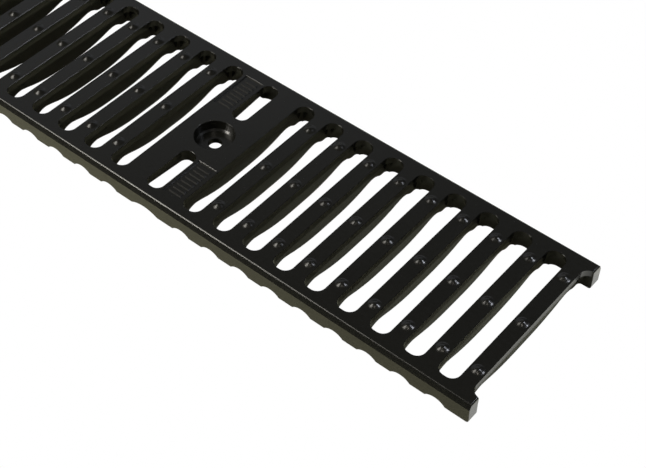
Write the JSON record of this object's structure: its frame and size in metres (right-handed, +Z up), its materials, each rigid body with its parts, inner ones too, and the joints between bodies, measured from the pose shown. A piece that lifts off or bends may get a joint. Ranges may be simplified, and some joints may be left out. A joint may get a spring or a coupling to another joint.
{
  "type": "drain grate",
  "caption": "Slotted cast-iron grate for a drain channel, with fish-belly bars between two rails, domed grip studs and a recessed hole for a locking bolt in the middle plate.",
  "frame": {"origin": "middle of the plane through the ribs' lowest points, straight below the bolt hole", "axes": "+X along the grate, +Y across it, +Z up out of the deck"},
  "size_m": [0.5, 0.134, 0.0195],
  "materials": {
    "coated_cast_iron": "black satin dip coat over cast iron, fine sand texture"
  },
  "bodies": {
    "root": {"grate": "coated_cast_iron"}
  },
  "joints": []
}
